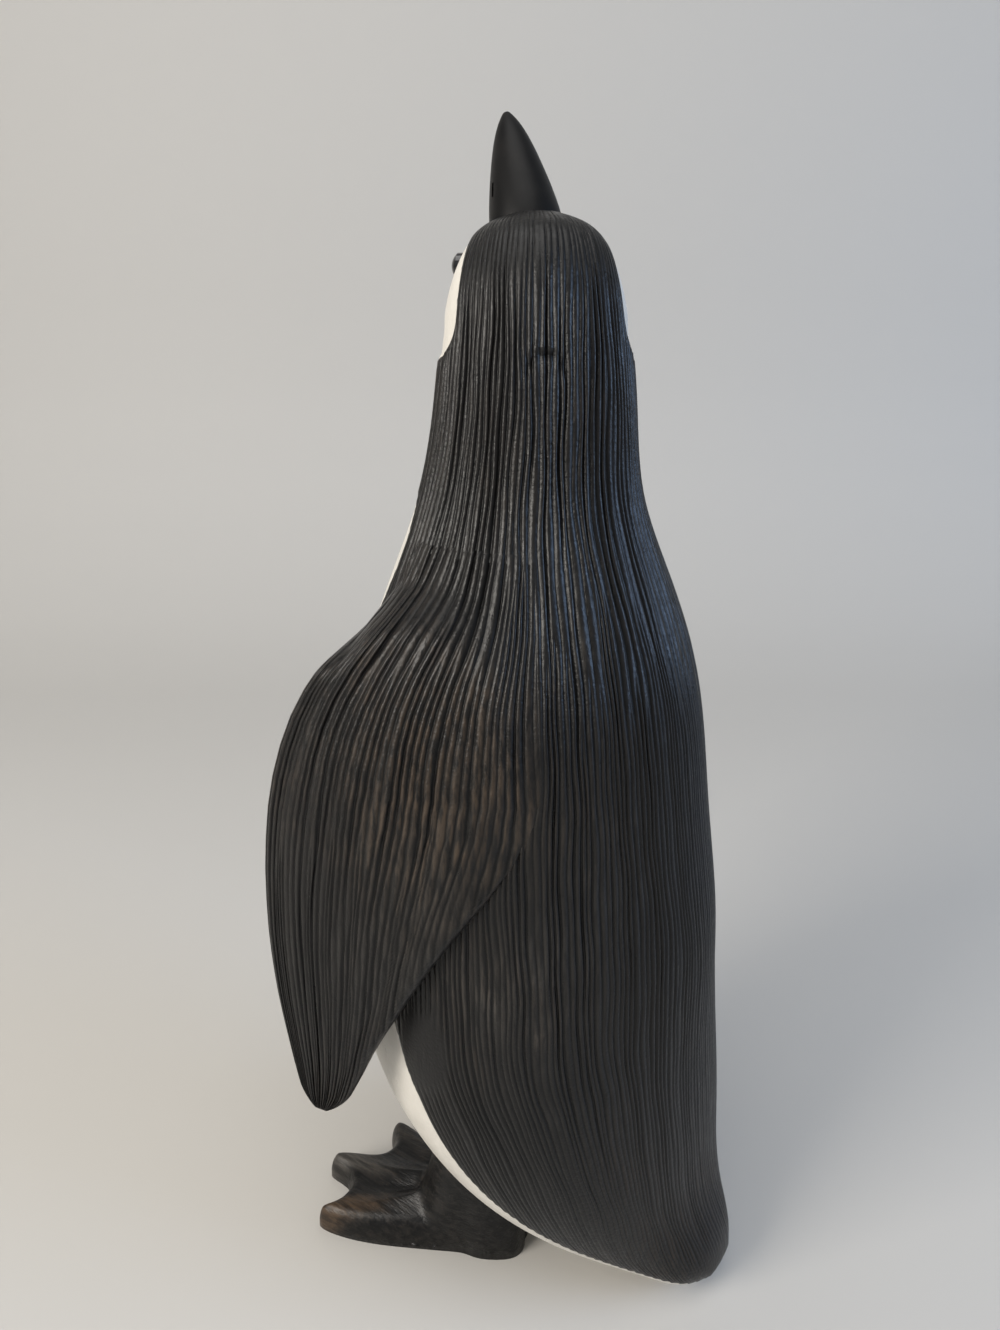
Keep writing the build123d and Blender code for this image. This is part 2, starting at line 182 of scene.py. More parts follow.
# the flank's flat that carries the left flipper, and the flipper's outline on it: (back, up)
splay, seat_lean = math.radians(15), math.radians(6)
seat_out = np.array([math.cos(splay) * math.cos(seat_lean), math.sin(splay) * math.cos(seat_lean),
                     math.sin(seat_lean)])
seat_back = np.array([-math.sin(splay), math.cos(splay), 0])
seat_up = np.cross(seat_out, seat_back)
seat_reach, seat_height = 44.5, 120.0
seat_origin = np.array([seat_reach * math.cos(splay), neck_y + seat_reach * math.sin(splay), seat_height])
flipper_front = np.array([
    (-20.6, 90), (-22.6, 85), (-25.6, 79), (-29.6, 73), (-34.6, 66.8), (-40.2, 60.4), (-45.4, 53.2), (-49.3, 46),
    (-52.2, 38.3), (-54.2, 30.3), (-55.3, 22.2), (-55.6, 14), (-55.5, 5.8), (-54.9, -2.4), (-54.1, -10.6),
    (-52.9, -18.7), (-51.5, -26.8), (-49.8, -34.8), (-48.2, -42.8), (-46.7, -50.7), (-44.8, -60), (-44.4, -62),
], float)
flipper_rear = np.array([
    (11.3, 90), (11.9, 86), (14.2, 71), (15.7, 58), (17, 48), (17.8, 41), (17.7, 33.8), (15.5, 25.9), (11.7, 18.6),
    (7.3, 11.7), (2.6, 4.9), (-2, -1.9), (-6.4, -8.8), (-10.6, -15.9), (-14.6, -23), (-18.7, -30.2), (-22.5, -37.4),
    (-26.0, -45), (-29.4, -51.9), (-33.6, -60), (-34.6, -62),
], float)
flipper_top, flipper_tip, flipper_round = 90.0, -61.4, 8.0


def flipper_edges(rise):
    """The front and rear edge at a rise above the seat's middle, drawn in to a round tip."""
    front = np.interp(-rise, -flipper_front[:, 1], flipper_front[:, 0])
    rear = np.interp(-rise, -flipper_rear[:, 1], flipper_rear[:, 0])
    past = np.clip((flipper_tip + flipper_round - rise) / flipper_round, 0, 1)
    middle, half = (front + rear) / 2, (rear - front) / 2 * np.sqrt(1 - past**2)
    return middle - half, middle + half


# the mesh has more columns for each line on the carved part than on the smooth breast, past white_turn
line_columns, white_columns, white_turn = 6, 2, 316
line_steps = np.where(line_turns[:-1] < white_turn, line_columns, white_columns)
torso_places = np.concatenate([i + np.arange(n) / n for i, n in enumerate(line_steps)] + [[line_count]])
neck_along = section_along[9]
for _ in range(40):
    neck_found = smooth_through(section_along, body_sections, np.array([neck_along]))[0, 0]
    neck_along += (neck_joint_height - neck_found) * 0.8
torso_alongs = np.concatenate([[0, 0, 0.4], np.linspace(2, neck_along - 0.05, 90), [neck_along, neck_along]])
torso_shrink = np.concatenate([[0, 0.7], np.ones(len(torso_alongs) - 3), [0]])
tail_end = (0, neck_y + 66.4, 8.2)
waist_along = section_along[6]
waist_half = body_sections[6, 3] / 2
# depth of the lines at the tail and what is added on the back, the white paint's step, the hollow under a flipper
tail_line_depth, back_line_more, white_step, flank_hollow = 0.35, 0.37, 0.4, 1.3
# where paint is smeared over the lines below the left flipper: (back, up) on the flipper's flat, and half its size
smear_place, smear_size = (-11, -36), (8, 13)
# how far the ridges are rubbed, and what is added on a browner patch of the left flank, at a turn and a height; the
# patch is part wear, part a painted warm highlight
plain_rub, flank_rub_and_sheen, flank_rub_and_sheen_turn, flank_rub_and_sheen_height, nick_rub = 0.42, 0.7, 118, 104, 3.0
# small nicks in the paint of the back
nicks = np.array([(24.6, 22.1, 186.1), (29.5, 18.5, 181.5), (46.2, 12.3, 104.6), (41.4, 23.4, 95.3)])


def line_turn(place, along, half):
    """The turn of a line. Below the waist the lines keep their distance and run out at the white belly."""
    from_back = (np.interp(place, np.arange(line_count + 1), line_turns) % 360) - 180
    spread = np.where(along < waist_along, (waist_half / half) ** 0.85, 1)
    black = 180 - np.interp(along, paint_edge[:, 0], paint_edge[:, 1])
    last = np.minimum(black / spread, black)
    beyond = black + (180 - black) * (np.abs(from_back) - last) / (180 - last)
    return 180 + np.sign(from_back) * np.where(np.abs(from_back) < last, np.abs(from_back) * black / last, beyond)


def torso_place(column, row):
    """Points and marks of the torso: its columns follow the lines, its rows go from the tail to the neck."""
    place, along = torso_places[column], torso_alongs[row]
    half = body_surface(along, 0 * along)[2]
    turn = line_turn(place, along, half)
    height = body_surface(along, turn)[0][:, 2]
    turn = turn + np.degrees(line_wander(turn, height) / np.maximum(half, 12)) * ease(2, 25, along)
    point, out, half = body_surface(along, turn)
    paint = breast_paint(along, turn, point[:, 2], half)
    cut = v_cuts(place, height, (2, 1), line_depths, line_begins)
    from_seat = np.abs(point * [1, 0, 0]) + point * [0, 1, 1] - seat_origin
    back, rise, off = from_seat @ seat_back, from_seat @ seat_up, from_seat @ seat_out
    front, rear = flipper_edges(np.clip(rise, flipper_tip + 1, flipper_top))
    under = ease(0.6, 2.4, np.minimum(back - front, rear - back)) * ease(-14, -5, off) * ease(10, 24, rise)
    from_smear = np.hypot((back - smear_place[0]) / smear_size[0], (rise - smear_place[1]) / smear_size[1])
    bare = ease(1.25, 0.8, from_smear) * (point[:, 0] > 0)
    carved = ease(0.2, 1.6, paint) * ease(4, 14, along) * (1 - bare)
    line_depth = tail_line_depth + back_line_more * ease(20, 120, height)
    sunk = line_depth * cut * carved + white_step * ease(0.5, -0.3, paint) + flank_hollow * under
    point = point - out * sunk[:, None]
    end = np.where(row[:, None] < 3, tail_end, [0, neck_y, neck_joint_height])
    point = end + (point - end) * torso_shrink[row][:, None]
    # the flank patch: browner ridges, part wear and part a painted warm highlight
    from_patch = np.hypot((turn - flank_rub_and_sheen_turn) * 0.7, point[:, 2] - flank_rub_and_sheen_height)
    rubbed = plain_rub + flank_rub_and_sheen * ease(26, 6, from_patch) * (point[:, 0] > 0)
    for nick in nicks:
        rubbed = rubbed + nick_rub * ease(2.2, 0.8, np.linalg.norm((point - nick) * [1, 1, 0.5], axis=1))
    # the ridge mark also sets the painted highlight on ridge tops and painted shade in grooves; the smeared patch is
    # marked low, so it gets the darker groove black
    return point, {"ridge": 1 - np.clip(cut * carved, 0, 1) - 0.45 * bare, "paint": paint, "rubbed": rubbed}


torso = wrapped_sheet("carved_torso", len(torso_places) - 1, len(torso_alongs) - 1, torso_place)


# worn black paint with painted light: brown wood shows through on rubbed ridges; the ridge tops are painted a lighter
# black as a highlight and the grooves a darker black as painted shade
def new_group(name, inputs, outputs):
    """An empty shader node group with float or colour sockets."""
    group = bpy.data.node_groups.new(name, "ShaderNodeTree")
    for label, kind, value in inputs:
        group.interface.new_socket(label, in_out="INPUT", socket_type=kind).default_value = value
    for label, kind in outputs:
        group.interface.new_socket(label, in_out="OUTPUT", socket_type=kind)
    return group, group.nodes.new("NodeGroupInput"), group.nodes.new("NodeGroupOutput")


def add_node(tree, kind, settings=(), **links):
    """A node with its settings made and its inputs linked or set, by their names or as i and their number."""
    node = tree.nodes.new(kind)
    for key, value in dict(settings).items():
        setattr(node, key, value)
    for key, value in links.items():
        numbered = key[0] == "i" and key[1:].isdigit()
        socket = node.inputs[int(key[1:]) if numbered else key.replace("_", " ")]
        if isinstance(value, bpy.types.NodeSocket):
            tree.links.new(value, socket)
        else:
            socket.default_value = value
    return node


wear_and_sheen, worn_in, wear_and_sheen_out = new_group(
    "worn_black_paint_and_ridge_sheen",
    [("Ridge", "NodeSocketFloat", 1.0), ("Wear", "NodeSocketFloat", 0.5)],
    [("Color", "NodeSocketColor"), ("Roughness", "NodeSocketFloat"), ("Height", "NodeSocketFloat")],
)
worn_place = add_node(wear_and_sheen, "ShaderNodeTexCoord")
worn_along = add_node(wear_and_sheen, "ShaderNodeMapping", Vector=worn_place.outputs["Object"], Scale=(1.0, 1.0, 0.14))
streaks = add_node(wear_and_sheen, "ShaderNodeTexNoise", Vector=worn_along.outputs["Vector"],
                   Scale=760.0, Detail=4.0, Roughness=0.62)
patches = add_node(wear_and_sheen, "ShaderNodeTexNoise", Vector=worn_place.outputs["Object"],
                   Scale=24.0, Detail=5.0, Roughness=0.6)
specks = add_node(wear_and_sheen, "ShaderNodeTexNoise", Vector=worn_place.outputs["Object"],
                  Scale=1100.0, Detail=2.0, Roughness=0.6)
patchy = add_node(wear_and_sheen, "ShaderNodeMapRange", i0=patches.outputs["Fac"], i1=0.38, i2=0.66, i3=0.12, i4=1.0)
streaked = add_node(wear_and_sheen, "ShaderNodeMapRange", i0=streaks.outputs["Fac"], i1=0.40, i2=0.66, i3=0.05, i4=1.0)
ridge_top = add_node(wear_and_sheen, "ShaderNodeMapRange", {"interpolation_type": "SMOOTHSTEP"}, i0=worn_in.outputs["Ridge"],
                     i1=0.45, i2=1.0, i3=0.0, i4=1.0)
rub_streak = add_node(wear_and_sheen, "ShaderNodeMath", {"operation": "MULTIPLY"},
                      i0=patchy.outputs[0], i1=streaked.outputs[0])
rub_ridge = add_node(wear_and_sheen, "ShaderNodeMath", {"operation": "MULTIPLY"},
                     i0=rub_streak.outputs[0], i1=ridge_top.outputs[0])
rub_mask = add_node(wear_and_sheen, "ShaderNodeMath", {"operation": "MULTIPLY", "use_clamp": True},
                    i0=rub_ridge.outputs[0], i1=worn_in.outputs["Wear"])
warmth = add_node(wear_and_sheen, "ShaderNodeTexNoise", Vector=worn_place.outputs["Object"], Scale=15.0, Detail=4.0)
warm_range = add_node(wear_and_sheen, "ShaderNodeMapRange", i0=warmth.outputs["Fac"], i1=0.45, i2=0.68, i3=0.0, i4=1.0)
rub_tone = add_node(wear_and_sheen, "ShaderNodeMix", {"data_type": "RGBA"}, i0=warm_range.outputs[0],
                    i6=(0.040, 0.036, 0.032, 1), i7=(0.056, 0.036, 0.021, 1))
# painted highlight and shade: the black is lighter on the ridge tops and darker in the grooves
black_paint_and_ridge_sheen = add_node(wear_and_sheen, "ShaderNodeMix", {"data_type": "RGBA"}, i0=ridge_top.outputs[0],
                      i6=(0.0016, 0.0015, 0.0015, 1), i7=(0.0075, 0.0071, 0.0069, 1))
wear_and_sheen_tone = add_node(wear_and_sheen, "ShaderNodeMix", {"data_type": "RGBA"}, i0=rub_mask.outputs[0],
                     i6=black_paint_and_ridge_sheen.outputs[2], i7=rub_tone.outputs[2])
worn_rough = add_node(wear_and_sheen, "ShaderNodeMapRange", i0=streaks.outputs["Fac"], i1=0.3, i2=0.7, i3=0.27, i4=0.45)
worn_height = add_node(wear_and_sheen, "ShaderNodeMath", {"operation": "ADD"},
                       i0=streaks.outputs["Fac"], i1=specks.outputs["Fac"])
wear_and_sheen.links.new(wear_and_sheen_tone.outputs[2], wear_and_sheen_out.inputs["Color"])
wear_and_sheen.links.new(worn_rough.outputs[0], wear_and_sheen_out.inputs["Roughness"])
wear_and_sheen.links.new(worn_height.outputs[0], wear_and_sheen_out.inputs["Height"])


def new_material(name):
    """A material with a Principled shader that is linked to its output."""
    material = bpy.data.materials.new(name)
    material.use_nodes = True
    material.node_tree.nodes.clear()
    shader = material.node_tree.nodes.new("ShaderNodeBsdfPrincipled")
    output = material.node_tree.nodes.new("ShaderNodeOutputMaterial")
    material.node_tree.links.new(shader.outputs["BSDF"], output.inputs["Surface"])
    return material, material.node_tree, shader


carved_paint, carved_tree, carved_shader = new_material("carved_painted_wood")
# the ridge mark lightens the ridge tops as a painted highlight and darkens the grooves as painted shade, besides
# placing the wear
ridge_mark = add_node(carved_tree, "ShaderNodeAttribute", {"attribute_name": "ridge"})
paint_mark = add_node(carved_tree, "ShaderNodeAttribute", {"attribute_name": "paint"})
carved_place = add_node(carved_tree, "ShaderNodeTexCoord")
rub_mark = add_node(carved_tree, "ShaderNodeAttribute", {"attribute_name": "rubbed"})
carved_wear_and_sheen = add_node(carved_tree, "ShaderNodeGroup", {"node_tree": wear_and_sheen}, Ridge=ridge_mark.outputs["Fac"],
                       Wear=rub_mark.outputs["Fac"])
edge_noise = add_node(carved_tree, "ShaderNodeTexNoise", Vector=carved_place.outputs["Object"],
                      Scale=340.0, Detail=3.0)
edge_shift = add_node(carved_tree, "ShaderNodeMapRange", i0=edge_noise.outputs["Fac"],
                      i1=0.0, i2=1.0, i3=-0.9, i4=0.9)
edge_sum = add_node(carved_tree, "ShaderNodeMath", {"operation": "ADD"},
                    i0=paint_mark.outputs["Fac"], i1=edge_shift.outputs[0])
black_mask = add_node(carved_tree, "ShaderNodeMapRange", i0=edge_sum.outputs[0], i1=-0.12, i2=0.12, i3=0.0, i4=1.0)
brush = add_node(carved_tree, "ShaderNodeTexNoise", Vector=carved_place.outputs["Object"], Scale=150.0, Detail=4.0)
white_tone = add_node(carved_tree, "ShaderNodeMix", {"data_type": "RGBA"}, i0=brush.outputs["Fac"],
                      i6=(0.58, 0.55, 0.495, 1), i7=(0.71, 0.685, 0.63, 1))
carved_color = add_node(carved_tree, "ShaderNodeMix", {"data_type": "RGBA"}, i0=black_mask.outputs[0],
                        i6=white_tone.outputs[2], i7=carved_wear_and_sheen.outputs["Color"])
carved_bump = add_node(carved_tree, "ShaderNodeBump", Strength=0.4, Distance=0.0003,
                       Height=carved_wear_and_sheen.outputs["Height"])
carved_shader.inputs["Specular IOR Level"].default_value = 0.31
carved_tree.links.new(carved_color.outputs[2], carved_shader.inputs["Base Color"])
carved_tree.links.new(carved_wear_and_sheen.outputs["Roughness"], carved_shader.inputs["Roughness"])
carved_tree.links.new(carved_bump.outputs["Normal"], carved_shader.inputs["Normal"])

torso.data.materials.append(carved_paint)
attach(torso, "root")
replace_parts(torso, "torso")


# Head and neck: a second block, turned to the right on the torso and carved on in the same lines.
# The lines run up the neck and over the crown to the beak's root; the cheeks are white.
head_turn = 52.0
head_front = np.array([-math.sin(math.radians(head_turn)), -math.cos(math.radians(head_turn)), 0])
skyward = np.array([0, 0, 1.0])
fine_alongs = np.linspace(neck_along - 5, section_along[-1], 500)
fine_sections = smooth_through(section_along, body_sections, fine_alongs)
nape_peg_height = 246.0
dome_height, dome_radius, dome_tilt = 250.0, 24.0, math.radians(17)
crown_height = body_sections[-1, 0]
head_reach = 60.0
# the white cheeks: the turn from the beak and the height of their middle, half their width in degrees, half their
# height, how square their corners are, their size in millimetres and how deep their lower edge is cut
cheek_turn, cheek_height, cheek_reach, cheek_half_height = 68.0, 262.0, 49.0, 14.0
cheek_corner, cheek_size, cheek_step = 2.8, 13.0, 0.5
# depth of the lines on the crown, and what is added on the neck
crown_line_depth, neck_line_more = 0.12, 0.6
# the arched mark over the nape peg's end
arch_radius, arch_width, arch_depth = 4.0, 0.6, 0.8
head_places = np.linspace(0, line_count, line_count * line_columns + 1)
neck_heights = np.concatenate([[neck_joint_height], np.linspace(neck_joint_height + 0.05, dome_height, 24)])
dome_rises = np.radians(np.linspace(0, 78, 38)[1:])
head_rows = 1 + len(neck_heights) + len(dome_rises)


def neck_section(height):
    """Set-back, width and depth of the neck or head at a height."""
    return (np.interp(height, fine_sections[:, 0], fine_sections[:, i]) for i in (1, 3, 4))


def on_head(origin, way):
    """Where a line from inside the head comes out of its surface."""
    near, far = np.zeros(len(way)), np.full(len(way), head_reach)
    for _ in range(40):
        middle = (near + far) / 2
        point = origin + way * middle[:, None]
        set_back, width, depth = neck_section(point[:, 2])
        inside = (2 * point[:, 0] / width) ** 2 + (2 * (point[:, 1] - neck_y - set_back) / depth) ** 2 < 1
        inside = inside & (point[:, 2] < crown_height)
        near, far = np.where(inside, middle, near), np.where(inside, far, middle)
    return origin + way * near[:, None]


def cheek_paint(point):
    """Distance from the edge of the white cheeks, in millimetres: below 0 it is white."""
    side = (np.degrees(np.arctan2(point[:, 0], neck_y + 1 - point[:, 1])) + head_turn + 180) % 360 - 180
    reach = cheek_reach + (cheek_height - point[:, 2]) * 0.5
    across = np.abs(np.abs(side) - cheek_turn) / reach
    upward = np.abs(point[:, 2] - cheek_height) / cheek_half_height
    return ((across**cheek_corner + upward**cheek_corner) ** (1 / cheek_corner) - 1) * cheek_size


def head_place(column, row):
    """Points and marks of the head: its columns follow the torso's lines, its rows go up the neck to the crown."""
    place = head_places[column]
    turn = np.interp(place, np.arange(line_count + 1), line_turns)
    step = np.clip(row - 1, 0, head_rows - 2)
    height = neck_heights[np.minimum(step, len(neck_heights) - 1)]
    dome_step = np.clip(step - len(neck_heights), 0, len(dome_rises) - 1)
    rise = np.where(step < len(neck_heights), 0, dome_rises[dome_step])
    set_back, width, depth = neck_section(height)
    radius = width / 2
    up_line = height + dome_radius * rise
    swung = np.radians(turn) + line_wander(turn, up_line) / radius * np.cos(rise)
    level = np.arctan2(np.sin(swung) * width, np.cos(swung) * depth)
    way = np.stack([np.sin(level) * np.cos(rise), -np.cos(level) * np.cos(rise), np.sin(rise)], -1)
    lean = dome_tilt * ease(0, math.radians(80), rise)
    ahead, upward = way @ head_front, way[:, 2]
    way = way + head_front * (ahead * (np.cos(lean) - 1) + upward * np.sin(lean))[:, None] \
        + skyward * (upward * (np.cos(lean) - 1) - ahead * np.sin(lean))[:, None]
    point = on_head(np.stack([0 * height, neck_y + set_back, height], -1), way)
    along = np.interp(point[:, 2], fine_sections[:, 0], fine_alongs)
    cheek = cheek_paint(point)
    paint = np.minimum(breast_paint(along, np.degrees(swung), point[:, 2], radius), cheek)
    cut = v_cuts(place, up_line, (2,), line_depths, line_begins)
    carved = ease(0.2, 1.4, paint) * ease(math.radians(74), math.radians(60), rise)
    line_depth = crown_line_depth + neck_line_more * ease(math.radians(66), math.radians(4), rise)
    nape_aside = np.radians((np.degrees(swung) + head_turn) % 360 - 180) * radius
    from_peg = np.hypot(nape_aside, point[:, 2] - nape_peg_height)
    arch = np.exp(-(((from_peg - arch_radius) / arch_width) ** 2)) * ease(-1, 1, point[:, 2] - nape_peg_height)
    sunk = arch_depth * arch + white_step * ease(0.5, -0.3, paint)
    sunk = sunk + cheek_step * ease(0.5, -0.6, cheek) * ease(260, 254, point[:, 2])
    point = point - way * (line_depth * cut * carved + sunk)[:, None]
    point = np.where((row == 0)[:, None], [0, neck_y, neck_joint_height], point)
    # the arch is marked as a groove, so it gets the darker groove black as painted shade
    return point, {"ridge": 1 - np.clip(cut * carved + 0.7 * arch, 0, 1), "paint": paint,
                   "rubbed": plain_rub - 0.3 * ease(250, 272, point[:, 2])}


head = wrapped_sheet("carved_head", len(head_places) - 1, head_rows - 1, head_place)
head.data.materials.append(carved_paint)
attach(head, "root")
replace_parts(head, "head")


# Flippers: leaves of wood let into the flanks and faired into the shoulders with the carving.
# The neck's lines run on over the shoulder, are halved there and end at the tip and the rear edge.
# the flank without its lines, to measure the body's height over the flipper's flat
flank_columns, flank_rows = 240, 139
flank_turns = np.linspace(0, 360, flank_columns + 1)
flank_alongs = np.linspace(20, neck_along + 8, flank_rows + 1)
flank_points = body_surface(np.repeat(flank_alongs, flank_columns + 1), np.tile(flank_turns, flank_rows + 1))[0]
flank_corners = (np.arange(flank_rows)[:, None] * (flank_columns + 1) + np.arange(flank_columns)).ravel()
flank = BVHTree.FromPolygons(
    [Vector(point) for point in flank_points],
    [(i, i + 1, i + flank_columns + 2, i + flank_columns + 1) for i in flank_corners.tolist()])
flank_reach, no_flank = 60.0, -30.0
# the top of the CAD flipper's outline, where the leaf goes over into the shoulder: (back, up)
shoulder_edge = np.array([
    (-60, 40), (-45.4, 53.2), (-40.6, 59.9), (-35, 65.9), (-28.6, 71.1), (-21.3, 74.7), (-13.2, 75.8), (-5.2, 74.2),
    (1.8, 70), (7.4, 64), (12.2, 57.3), (15.7, 50), (17.7, 42), (19, 30),
], float)
# the leaf's thickness, its crown across the grain, its sweep along the grain and where the crown is highest
flipper_thick, crown_radius, blade_radius, shoulder_radius = 10.0, 87.0, 360.0, 270.0
crown_forward, crown_rise, grain_rake = 18.0, 10.0, math.radians(14)
# edge rounding, lift above the body, how far the joined edges are sunk, the lines' depth and the inner face's height
edge_round, leaf_lift, joined_sink, flipper_line_depth, inner_height = 2.4, 0.05, 0.45, 0.75, 0.2
# how far the flipper's ridges are rubbed, and what is added on the shoulder's crown: part wear, part a painted warm
# highlight
flipper_rub, shoulder_rub_and_sheen = 0.33, 1.2
# the neck's lines that run on over the flipper, between these turns, and the height of a rise on its leaning flat
flipper_turns, rise_to_height = (62, 127), 0.9945
first_line, last_line = (
    2 * round(np.interp(turn, line_turns, np.arange(line_count + 1)) / 2) for turn in flipper_turns)
flipper_lines = 2 * (last_line - first_line)
flipper_columns, inner_columns = 5 * flipper_lines, 16
flipper_rises = np.concatenate([
    np.linspace(flipper_top, flipper_tip + flipper_round, 128),
    flipper_tip + flipper_round * (1 - np.sin(np.linspace(0, math.pi / 2, 16)[1:]))])


def flank_height(back, up):
    """Height of the body's surface above the flipper's flat."""
    heights = np.empty(len(back))
    starts = seat_origin + seat_back * back[:, None] + seat_up * up[:, None] + seat_out * flank_reach
    for i, start in enumerate(starts):
        hit = flank.ray_cast(Vector(start), Vector(-seat_out))
        heights[i] = no_flank if hit[0] is None else flank_reach - hit[3]
    return heights


def leaf_height(back, up):
    """Height of the flipper's rounded outer face above its flat."""
    x, y = back + crown_forward, up - crown_rise
    grain = x * math.sin(grain_rake) + y * math.cos(grain_rake)
    across = -x * math.cos(grain_rake) + y * math.sin(grain_rake)
    sweep = np.where(grain > 0, shoulder_radius, blade_radius)
    reach = crown_radius - sweep + np.sqrt(sweep**2 - grain**2)
    return np.sqrt(np.maximum(reach**2 - across**2, 1)) - (crown_radius - flipper_thick)


def carved_flipper(name, side, seed):
    """One flipper with its faired shoulder, on the left (1) or the right (-1)."""
    own_hand = np.random.default_rng(seed)
    depths = own_hand.uniform(0.6, 1.2, flipper_lines + 1)
    depths[::2] = line_depths[first_line:last_line + 1]
    # four in ten of the flipper's own lines begin below the shoulder, the others are left out
    begins = np.where(own_hand.random(flipper_lines + 1) < 0.4, own_hand.uniform(125, 160, flipper_lines + 1), -99)
    begins[::2] = 6 + line_begins[first_line:last_line + 1]
    shares = np.concatenate([np.linspace(0, 1, flipper_columns + 1), np.linspace(1, 0, inner_columns + 1)[1:]])
    turns = np.interp(first_line + shares * (last_line - first_line), np.arange(line_count + 1), line_turns)
    spread = np.cos(np.radians(turns) - splay)
    spread = (spread[0] - spread) / (spread[0] - spread[flipper_columns])

    def place(column, row):
        # the lines come from the neck and spread over the leaf from its front to its rear edge
        share, turn, up = spread[column], turns[column], flipper_rises[row]
        outside = column <= flipper_columns
        front, rear = flipper_edges(up)
        guess = seat_height + rise_to_height * up
        stray = line_wander(turn, guess) * np.sin(np.radians(turn) - splay) * ease(52, 70, up)
        stray = stray + (0.5 * np.sin(up / 17 + 5 * share) + 0.2 * np.sin(up / 6.5 + 17 * share)) \
            * np.sin(math.pi * share) * ease(70, 50, up) * (rear - front) / 70
        back = front + (rear - front) * share + stray * outside
        # the face is the leaf's, and goes over into the body's at the shoulder and along the upper rear edge
        body, leaf = flank_height(back, up), leaf_height(back, up)
        edge = np.interp(back, shoulder_edge[:, 0], shoulder_edge[:, 1])
        slope = np.interp(back + 1, shoulder_edge[:, 0], shoulder_edge[:, 1]) - edge
        within = (edge - up) / np.sqrt(1 + slope**2)
        raised = np.maximum(ease(-7, 7, within), ease(-21, -30, back) * ease(77, 57, up))
        raised = raised * (1 - ease(8, 26, up) * ease(12, 0, rear - back))
        height = body + (np.maximum(leaf, body * ease(4, 24, up) + leaf * ease(24, 4, up)) - body) * raised
        # free edges are rounded, joined edges sink into the body
        free = 1 - np.maximum(ease(60, 74, up), ease(10, 26, up) * ((rear - back) < (back - front)))
        aside = np.minimum(back - front, rear - back)
        nearest = np.maximum(np.minimum(aside, up - flipper_tip), 0)
        past = np.clip(1 - nearest / edge_round, 0, 1)
        height = height - edge_round * (1 - np.sqrt(1 - past**2)) * free
        flush = ease(1.2, 0.0, np.minimum(aside, flipper_top - up)) * (1 - free)
        height = height + leaf_lift - joined_sink * flush
        # towards the tip the lines run out at the rear edge
        line = flipper_lines * (column / flipper_columns) * (1 - 0.45 * ease(45, -62, up))
        cut = v_cuts(np.minimum(line, flipper_lines), guess, (4, 2, 1), depths, begins) * outside
        carved = 1 - ease(1.4, 0.2, nearest) * free
        height = height - flipper_line_depth * cut * carved
        # the inner face lies on the flat, and inside the body where the shoulder rises past it
        inner = np.where(up > 10, np.minimum(inner_height, body - 2.0 * ease(10, 30, up)), inner_height)
        inner = np.where(back < -12, inner_height + (np.minimum(body, 0) - 1.0) * ease(56, 74, up), inner)
        height = np.where(outside, height, np.minimum(inner, height))
        point = seat_origin + seat_back * back[:, None] + seat_up * up[:, None] + seat_out * height[:, None]
        point[:, 0] *= side
        # the shoulder's crown gets browner ridges: part wear, part a painted warm highlight
        rubbed = flipper_rub + shoulder_rub_and_sheen * ease(-30, 30, up) * ease(-40, -15, back)
        ridge = np.where(outside, 1 - np.clip(cut * carved, 0, 1), 0.5)
        all_black = np.full(len(up), 5.0)
        return point, {"ridge": ridge, "paint": all_black, "rubbed": plain_rub + rubbed * ease(86, 60, up)}

    flipper = wrapped_sheet(name, len(shares) - 1, len(flipper_rises) - 1, place)
    flipper.data.materials.append(carved_paint)
    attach(flipper, "root")
    return flipper


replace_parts(carved_flipper("carved_left_flipper", 1, 21), "left_flipper")
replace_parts(carved_flipper("carved_right_flipper", -1, 22), "right_flipper")


# Feet: each carved from one block, with three ridged toes, a hollowed web and an ankle let into the belly.
# The black paint is rubbed to brown on the outer toe and to grey on the middle one; a screw goes in from below.
foot_origin, foot_toe_in = np.array([20, 4.5, 0]), math.radians(14.5)
foot_ahead = np.array([math.sin(foot_toe_in), -math.cos(foot_toe_in), 0])
foot_out = np.array([math.cos(foot_toe_in), math.sin(foot_toe_in), 0])
toe_tips = ((56.8, 16.9), (63.6, -1.9), (50.8, -20.8))
toe_root = 14.0
# the outline on the table, ahead of the heel and out from the foot's middle
foot_outline = np.array([
    (-1.2, 0), (-0.7, 6.3), (3.2, 8.9), (11.7, 10.8), (21.7, 12.6), (32.3, 15.4), (45.6, 18), (53, 18.4), (57, 17.9),
    (58.6, 16.6), (58.2, 15), (55.8, 12.4), (54.2, 9), (53.8, 6.4), (55.3, 3.9), (59, 1.9), (62.6, 0.9), (64.4, -1.3),
    (63.9, -3.6), (60.6, -5.3), (53.5, -7), (49.6, -9.3), (48.6, -12), (49.6, -15), (51.6, -18), (52, -20.3),
    (50.2, -22.3), (46.3, -22), (36, -17.8), (22, -12.8), (10, -10), (2, -8.2), (-0.8, -5.2), (-1.2, 0),
], float)
screw_ahead, screw_recess, screw_recess_radius = 7.0, 3.5, 4.1
# the web's height and its rise to the heel, the toes' height at their ends and their rise to the ankle
web_height, web_rise, web_reach, toe_height, toe_rise, toe_half_width = 2.4, 11, 54, 4.4, 16.5, 6
ankle_ahead, ankle_length, ankle_width, ankle_foot, ankle_rise = 14, 13, 10, 8, 36
# how wide and how square the rounded edge is
foot_edge, foot_edge_power = 3.4, 2.2
# how far each toe is rubbed, and how brown the wood is where it shows
toe_rubs, toe_browns = (1.0, 0.8, 0.2), (1.0, 0.0, 0.0)
